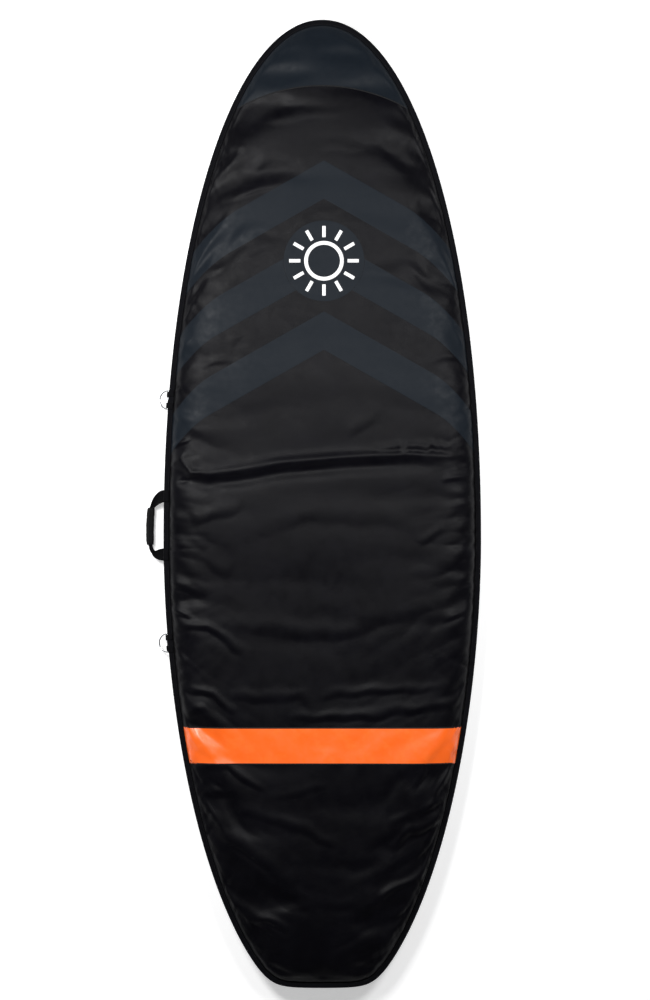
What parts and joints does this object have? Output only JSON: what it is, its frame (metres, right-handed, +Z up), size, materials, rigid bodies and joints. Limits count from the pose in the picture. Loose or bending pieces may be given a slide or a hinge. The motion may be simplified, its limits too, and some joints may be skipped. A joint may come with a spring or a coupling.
{
  "type": "paddleboard bag",
  "caption": "Padded day bag for a wide round-nosed board: two foam-lined half shells, perimeter zip, fabric spine, side carry handle and D-rings.",
  "frame": {"origin": "on the centreline at the middle of the length, on the flat underside that the bag lies on", "axes": "+Y to the nose, +X to the zipped side (handle and spine on -X), +Z up"},
  "size_m": [0.9891, 2.8489, 0.121],
  "materials": {
    "outer_polyester": "black 600-denier polyester, satin sheen",
    "padding_foam": "closed-cell foam sheet",
    "lining_cloth": "smooth woven nylon lining",
    "binding_tape": "ribbed black binding tape",
    "zip_tape": "woven zip tape",
    "zip_coil": "black moulded coil",
    "webbing": "black polyester webbing",
    "slate_film": "slate heat-pressed film, matt",
    "white_print": "white heat-pressed film",
    "orange_film": "orange coated film, satin",
    "grip_core": "foam core",
    "grip_cover": "black padded wrap",
    "ring_steel": "polished steel wire",
    "zip_metal": "dark nickel",
    "pull_rubber": "moulded rubber pull"
  },
  "bodies": {
    "base": {"bottom_shell": "outer_polyester", "bottom_foam": "padding_foam", "bottom_lining": "lining_cloth", "bottom_binding": "binding_tape", "lower_zip_tape": "zip_tape", "lower_zip_coil": "zip_coil", "spine_gusset": "outer_polyester", "zip_stop_front": "zip_tape", "zip_stop_back": "zip_tape", "handle_anchor_front": "webbing", "handle_anchor_back": "webbing", "ring_loop_front": "webbing", "ring_loop_back": "webbing"},
    "lid": {"top_shell": "outer_polyester", "top_foam": "padding_foam", "top_lining": "lining_cloth", "top_binding": "binding_tape", "upper_zip_tape": "zip_tape", "upper_zip_coil": "zip_coil", "nose_patch": "slate_film", "chevron_front": "slate_film", "chevron_middle": "slate_film", "chevron_back": "slate_film", "emblem_panel": "slate_film", "emblem_mark": "white_print", "accent_stripe": "orange_film", "handle_patch_front": "webbing", "handle_patch_back": "webbing", "ring_patch_front": "webbing", "ring_patch_back": "webbing"},
    "handle": {"handle_webbing": "webbing", "grip_foam": "grip_core", "grip_sleeve": "grip_cover"},
    "ring_front": {"d_ring_front": "ring_steel"},
    "ring_back": {"d_ring_back": "ring_steel"},
    "zip_slider_front": {"slider_front": "zip_metal"},
    "zip_slider_back": {"slider_back": "zip_metal"},
    "pull_front": {"pull_tab_front": "zip_metal", "pull_grip_front": "pull_rubber"},
    "pull_back": {"pull_tab_back": "zip_metal", "pull_grip_back": "pull_rubber"}
  },
  "joints": [
    {"name": "lid_open", "type": "hinge", "parent": "base", "child": "lid", "pos_m": [-0.4685, 0, 0.068], "axis": [0, -1, 0], "range_deg": [0, 180], "deforming": ["spine_gusset"]},
    {"name": "handle_swing", "type": "hinge", "parent": "base", "child": "handle", "pos_m": [-0.47038, -0.06298, 0.0395], "axis": [-0.006, -1, 0], "range_deg": [-110, 50]},
    {"name": "ring_front_swing", "type": "hinge", "parent": "base", "child": "ring_front", "pos_m": [-0.45574, 0.30723, 0.038], "axis": [-0.0762, -0.9971, 0], "range_deg": [-100, 60]},
    {"name": "ring_back_swing", "type": "hinge", "parent": "base", "child": "ring_back", "pos_m": [-0.45713, -0.41025, 0.038], "axis": [0.0842, -0.9965, 0], "range_deg": [-100, 60]},
    {"name": "slider_front_travel", "type": "hinge", "parent": "base", "child": "zip_slider_front", "pos_m": [-3.796, -0.018, 0.06], "axis": [0, 0, 1], "range_deg": [0, 6.7]},
    {"name": "slider_back_travel", "type": "hinge", "parent": "base", "child": "zip_slider_back", "pos_m": [-3.85, -0.077, 0.06], "axis": [0, 0, -1], "range_deg": [0, 6.5]},
    {"name": "pull_front_swing", "type": "hinge", "parent": "zip_slider_front", "child": "pull_front", "pos_m": [0.45136, 0.15002, 0.06], "axis": [0, 0, -1], "range_deg": [0, 130]},
    {"name": "pull_back_swing", "type": "hinge", "parent": "zip_slider_back", "child": "pull_back", "pos_m": [0.45184, 0.13905, 0.06], "axis": [0, 0, 1], "range_deg": [0, 130]}
  ]
}
